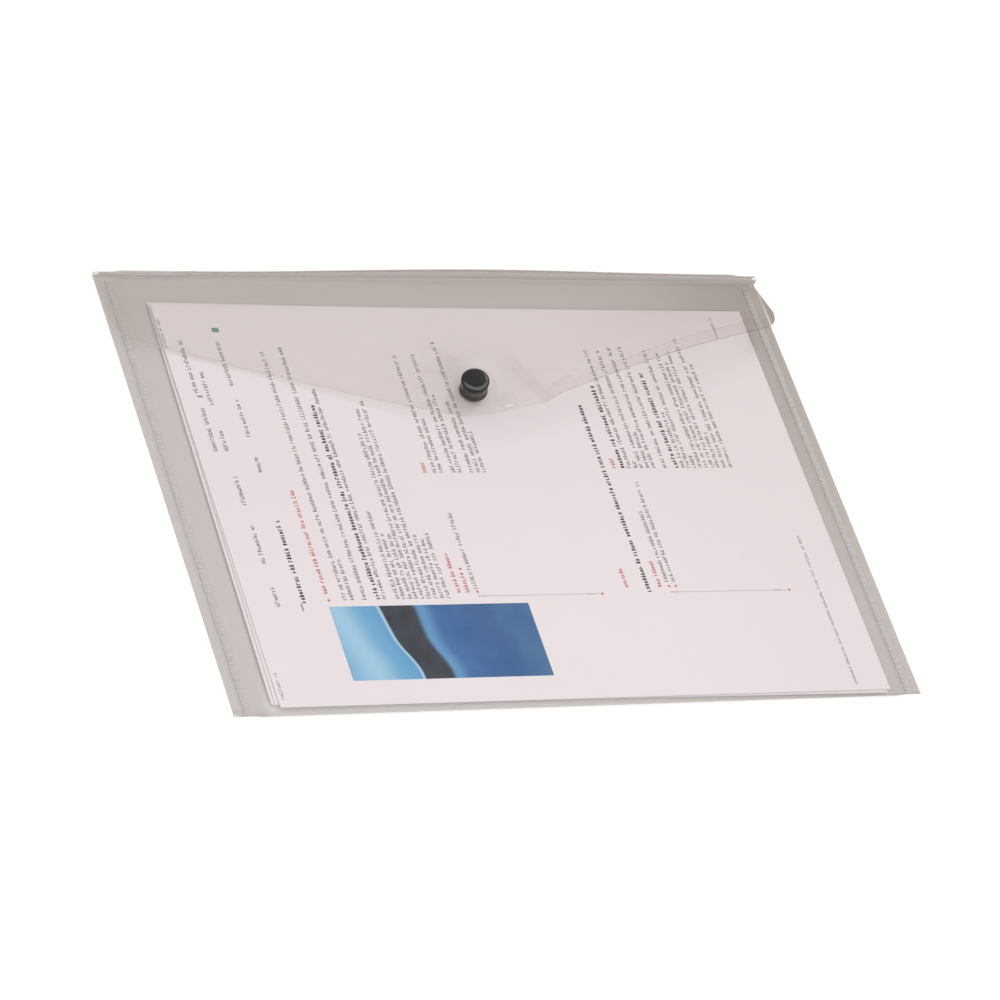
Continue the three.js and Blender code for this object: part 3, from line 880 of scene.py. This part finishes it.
def makeStripTree():
    # a thin box on each point, sized by the point's own "size"
    tree, into = newTree("laidStrips", "Points", "Turn")
    box = tree.nodes.new("GeometryNodeMeshCube")
    scatter = tree.nodes.new("GeometryNodeInstanceOnPoints")
    size = addNode(tree, "GeometryNodeInputNamedAttribute", data_type="FLOAT_VECTOR")
    size.inputs["Name"].default_value = "size"
    spin = tree.nodes.new("ShaderNodeCombineXYZ")
    links = tree.links
    links.new(into.outputs["Points"], scatter.inputs["Points"])
    links.new(box.outputs["Mesh"], scatter.inputs["Instance"])
    links.new(size.outputs["Attribute"], scatter.inputs["Scale"])
    links.new(into.outputs["Turn"], spin.inputs["Z"])
    links.new(spin.outputs["Vector"], scatter.inputs["Rotation"])
    endTree(tree, into, scatter.outputs["Instances"])
    return tree


stripTree = makeStripTree()


def printOnSheet(name, marks, ink):
    u, v, sizeU, sizeV = np.array(marks, float).T
    x, y = onSheet(0, u, v)
    z = sheetTop(0, u, v) + printing["height"] * 0.3
    made = newObject(name, np.stack([x, y, z], -1), [])
    addSizes(made, np.stack([sizeU, sizeV, np.full_like(u, printing["height"])], -1))
    useTree(made, stripTree, Turn=math.radians(paper["lays"][0][2]), Finish=ink)
    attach(made, "sheet_1")


def newInk(name, colour):
    # the ink is a little paler here and there
    spread = tuple(min(1.0, c * 1.25 + 0.004) for c in colour)
    return newFinish(name, (colour, spread), printing["rough"], printing["grain"], printing["bump"])


greyInk = newInk("greyInk", (0.014, 0.013, 0.016))
blackInk = newInk("blackInk", (0.012, 0.011, 0.013))
redInk = newInk("redInk", (0.56, 0.09, 0.11))
greenInk = newInk("greenInk", (0.10, 0.30, 0.22))
paleInk = newInk("paleInk", (0.52, 0.48, 0.49))
marks = [m for row in plainRows for m in rowMarks(row)]
marks += [m for row in smallRows
          for m in rowMarks(row, printing["small"], printing["smallWeight"])]
printOnSheet("print_text", marks, greyInk)
boldMarks = [m for row in boldRows for m in rowMarks(row, printing["boldSize"], printing["bold"])]
printOnSheet("print_bold", boldMarks, blackInk)
redMarks = [m for row in redRows for m in rowMarks(row, 1.0, printing["redWeight"])]
redMarks += [(u + printing["dotShift"], v, printing["dot"], printing["dot"]) for u, v in dots]
endShift, endLong, endWide = printing["ruleEnd"]
redMarks += [(end + endShift, v, endLong, endWide) for v, start, end in rules]
printOnSheet("print_red", redMarks, redInk)
printOnSheet("print_ticks", ticks, greenInk)
ruleMarks = []
for v, start, end in rules:
    ruleMarks.append(((start + end) / 2, v, end - start, printing["rule"]))
    for at, (shift, long) in zip((start, end), printing["bars"]):
        ruleMarks.append((at + shift, v, long, printing["barWidth"]))
printOnSheet("print_rules", ruleMarks, paleInk)

picture = {
    "from": (37.3, 12.1), "to": (132.5, 49.7), "columns": 60, "rows": 26,
    "cloud": 0.12, "cloudColour": (0.40, 0.64, 0.78), "slant": 0.10, "sway": 0.09, "swayScale": 1.6,
    "rough": 0.55, "specular": 0.1, "grain": (5200.0, 60.0, 1.6),
    "colours": (  # where each band of colour has its middle, and the colour
        (0.0, (0.17, 0.45, 0.72)), (0.18, (0.38, 0.66, 0.86)), (0.32, (0.14, 0.42, 0.70)),
        (0.372, (0.12, 0.38, 0.68)), (0.384, (0.50, 0.74, 0.90)), (0.396, (0.006, 0.012, 0.03)),
        (0.53, (0.004, 0.008, 0.02)), (0.56, (0.10, 0.32, 0.60)), (0.64, (0.015, 0.13, 0.38)),
        (0.86, (0.008, 0.10, 0.31)), (1.0, (0.03, 0.14, 0.34)),
    ),
}


def makePictureFinish():
    # soft slanting bands of blue, swayed and clouded a little
    colours = (picture["colours"][0][1], picture["cloudColour"])
    finish = newFinish("picturePrint", colours, picture["rough"], picture["grain"],
                       printing["bump"], picture["specular"])
    tree = finish.node_tree
    place = addNode(tree, "ShaderNodeUVMap", uv_map="picture")
    sway = addNode(tree, "ShaderNodeTexNoise", Scale=picture["swayScale"], Detail=0.0)
    axes = tree.nodes.new("ShaderNodeSeparateXYZ")
    slant = addNode(tree, "ShaderNodeMath", operation="MULTIPLY_ADD")
    slant.inputs[1].default_value = picture["slant"]
    along = addNode(tree, "ShaderNodeMath", operation="MULTIPLY_ADD")
    along.inputs[1].default_value = picture["sway"]
    cloud = addNode(tree, "ShaderNodeMath", operation="MULTIPLY")
    cloud.inputs[1].default_value = picture["cloud"]
    bands = tree.nodes.new("ShaderNodeValToRGB")
    bands.color_ramp.interpolation = "EASE"
    elements = bands.color_ramp.elements
    while len(elements) < len(picture["colours"]):
        elements.new(0.5)
    for element, (at, colour) in zip(elements, picture["colours"]):
        element.position = at
        element.color = (*colour, 1)
    tree.links.new(place.outputs["UV"], sway.inputs["Vector"])
    tree.links.new(place.outputs["UV"], axes.inputs["Vector"])
    tree.links.new(sway.outputs["Fac"], along.inputs[0])
    tree.links.new(axes.outputs["Y"], slant.inputs[0])
    tree.links.new(axes.outputs["X"], slant.inputs[2])
    tree.links.new(slant.outputs[0], along.inputs[2])
    tree.links.new(along.outputs[0], bands.inputs["Fac"])
    tree.links.new(tree.nodes["grain"].outputs["Mask"], cloud.inputs[0])
    tree.links.new(cloud.outputs[0], tree.nodes["tint"].inputs[0])
    tree.links.new(bands.outputs["Color"], tree.nodes["tint"].inputs[6])
    return finish


def makePicture():
    (u0, v0), (u1, v1) = picture["from"], picture["to"]
    u, v = np.meshgrid(np.linspace(u0, u1, picture["columns"]),
                       np.linspace(v0, v1, picture["rows"]))
    x, y = onSheet(0, u, v)
    z = sheetTop(0, u, v) + printing["height"] * 0.4
    made = newObject("print_picture", np.stack([x, y, z], -1).reshape(-1, 3), gridFaces(*u.shape))
    uv = made.data.uv_layers.new(name="picture")
    shares = np.stack([(u - u0) / (u1 - u0), (v - v0) / (v1 - v0)], -1).reshape(-1, 2)
    corners = np.empty(len(made.data.loops), np.int32)
    made.data.loops.foreach_get("vertex_index", corners)
    uv.data.foreach_set("uv", shares[corners].astype(np.float32).ravel())
    made.data.materials.append(makePictureFinish())
    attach(made, "sheet_1")


makePicture()
print("print: rows, rules, ticks and picture made")


# Press stud: a turned cap, and the CAD's other solids with broken edges and a moulded finish

snap = {
    "bottom": 5.3, "top": 7.7, "shoulder": (2.6, 1.5), "edge": 0.25, "dome": 0.2, "turns": 72,
    "post": 1.0, "rivet": (1.6, 0.6), "rivetTop": 4.0,
    # painted highlight on the cap's front shoulder: its colour, where round the shoulder it peaks
    # and how wide, the side it faces and how far round it reaches
    "shineColour": (0.15, 0.15, 0.165), "shineAngle": 52.0, "shineWidth": 15.0, "shineSide": 262.0,
    "shineReach": 0.1,
    "bevel": 0.07, "bevelTurn": 38.0,
    "rough": 0.30, "grain": (1400.0, 160.0, 0.8), "bump": (0.12, 0.02), "specular": 0.45,
    "black": ((0.004, 0.004, 0.004), (0.007, 0.007, 0.007)),
    "grey": ((0.024, 0.030, 0.038), (0.034, 0.041, 0.050)),
}


def newSnapFinish(name, colours):
    return newFinish(name, colours, snap["rough"], snap["grain"], snap["bump"], snap["specular"])


snapBlack = newSnapFinish("snapBlack", snap["black"])
snapGrey = newSnapFinish("snapGrey", snap["grey"])


def addShine(finish, colour):
    # a mesh attribute turns the finish paler: a painted highlight on the front of the cap's
    # shoulder
    tree = finish.node_tree
    withShine = tintBy(tree, "shine", tree.nodes["tint"].outputs[2], colour)
    tree.links.new(withShine, tree.nodes["Principled BSDF"].inputs["Base Color"])


addShine(snapBlack, snap["shineColour"])


def makeTurned(name, profile, turns):
    # a closed body turned about the leaning stud's axis, from points (radius, height, painted
    # highlight)
    radius, height, shine = np.array(profile, float).T
    angle = np.linspace(0, 2 * math.pi, turns, endpoint=False)[:, None]
    c, s = math.cos(stud["lean"]), math.sin(stud["lean"])
    out = radius * np.cos(angle)
    points = np.stack([stud["x"] + out * c - height * s, stud["y"] + radius * np.sin(angle),
                       studBase + out * s + height * c], -1)
    closed = np.concatenate([points, points[:1]])
    made = newObject(name, closed.reshape(-1, 3), gridFaces(*closed.shape[:2]))
    # the painted highlight lies on the front side only
    side = np.cos(np.append(angle, angle[0]) - math.radians(snap["shineSide"]))
    addAttribute(made, "shine", shine * ease(side + snap["shineReach"])[:, None])
    joinPoints(made.data, True)
    return made


def makeCap():
    # the rivet at the post's lower end, the post, the rim, the round shoulder and the low dome
    shoulder, rise = snap["shoulder"]
    rivetRadius, rivetHeight = snap["rivet"]
    rivetBottom = snap["rivetTop"] - rivetHeight
    bottom, top, edge = snap["bottom"], snap["top"], snap["edge"]
    profile = [(0, rivetBottom, 0), (rivetRadius - 0.1, rivetBottom, 0),
               (rivetRadius, rivetBottom + rivetHeight / 3, 0), (rivetRadius, snap["rivetTop"], 0),
               (snap["post"], snap["rivetTop"], 0), (snap["post"], bottom, 0),
               (stud["capRadius"] - edge, bottom, 0), (stud["capRadius"], bottom + edge, 0)]
    for degrees in np.linspace(0, 90, 16):
        turn = math.radians(degrees)
        shine = math.exp(-((degrees - snap["shineAngle"]) / snap["shineWidth"]) ** 2)
        profile.append((stud["capRadius"] - shoulder * (1 - math.cos(turn)),
                        top - rise * (1 - math.sin(turn)), shine))
    for share in (0.3, 0.6, 0.85, 1.0):
        profile.append(((stud["capRadius"] - shoulder) * (1 - share),
                        top + snap["dome"] * (1 - (1 - share) ** 2), 0))
    made = makeTurned("stud_cap", profile, snap["turns"])
    made.data.set_sharp_from_angle(angle=sharpTurn)
    made.data.materials.append(snapBlack)
    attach(made, "flap")
    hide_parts("snap_cap")


def makeSnapPiece(node, name, finish, body):
    made = bpy.data.objects.new(name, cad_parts[node].data.copy())
    scene.collection.objects.link(made)
    joinPoints(made.data, False)
    made.data.materials.clear()
    made.data.materials.append(finish)
    made.data.polygons.foreach_set("use_smooth", [True] * len(made.data.polygons))
    bevel = made.modifiers.new("edges", "BEVEL")
    bevel.width = snap["bevel"] * mm
    bevel.segments = 2
    bevel.limit_method = "ANGLE"
    bevel.angle_limit = math.radians(snap["bevelTurn"])
    bevel.harden_normals = True
    bake(made)
    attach(made, body)
    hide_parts(node)


makeCap()
makeSnapPiece("snap_socket", "stud_socket", snapGrey, "flap")
makeSnapPiece("snap_stud", "stud_ball", snapGrey, "pocket")
makeSnapPiece("snap_backing_cap", "stud_backing", snapBlack, "pocket")
print("stud: four pieces made")


# Welds: the two films are pressed together in a narrow band of fine ribs

weldPrint = {
    "pitch": 1.3, "rib": 0.62, "height": 0.05, "jitter": 0.04, "seed": 5,
    "ends": (1.0, 0.8),  # left bare at the foot and at the mouth
    "stressAndHighlight": (0.58, 0.66), "ribAlpha": 0.03, "fillAlpha": 0.012,
}
weldFinish = newFilm("weldFilm", weldPrint["ribAlpha"])
weldFill = newFilm("weldFill", weldPrint["fillAlpha"])


def makeWeldRibs(side):
    jitter = random.Random(weldPrint["seed"] + side)
    foot, mouth = weldPrint["ends"]
    ys = np.arange(foldY + foot, creaseY - pocket["mouthDrop"] - mouth, weldPrint["pitch"])
    ys = ys + np.array([jitter.uniform(-1, 1) * weldPrint["jitter"] for _ in ys])
    x = side * (halfWidth - pocket["weldInset"] - pocket["weldWidth"] / 2)
    points = np.stack([np.full_like(ys, x), ys, np.full_like(ys, pocket["weldedTop"])], -1)
    made = newObject("weld_ribs_left" if side < 0 else "weld_ribs_right", points, [])
    addSizes(made, [(pocket["weldWidth"], weldPrint["rib"], weldPrint["height"]) for _ in ys])
    addAttribute(made, "stressAndHighlight", [jitter.uniform(*weldPrint["stressAndHighlight"]) for _ in ys])
    useTree(made, stripTree, Turn=0.0, Finish=weldFinish)
    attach(made, "pocket")


for side, node in ((-1, "left_weld"), (1, "right_weld")):
    makeWeldRibs(side)
    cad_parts[node].data.materials.clear()
    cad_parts[node].data.materials.append(weldFill)
print("welds: ribs made")
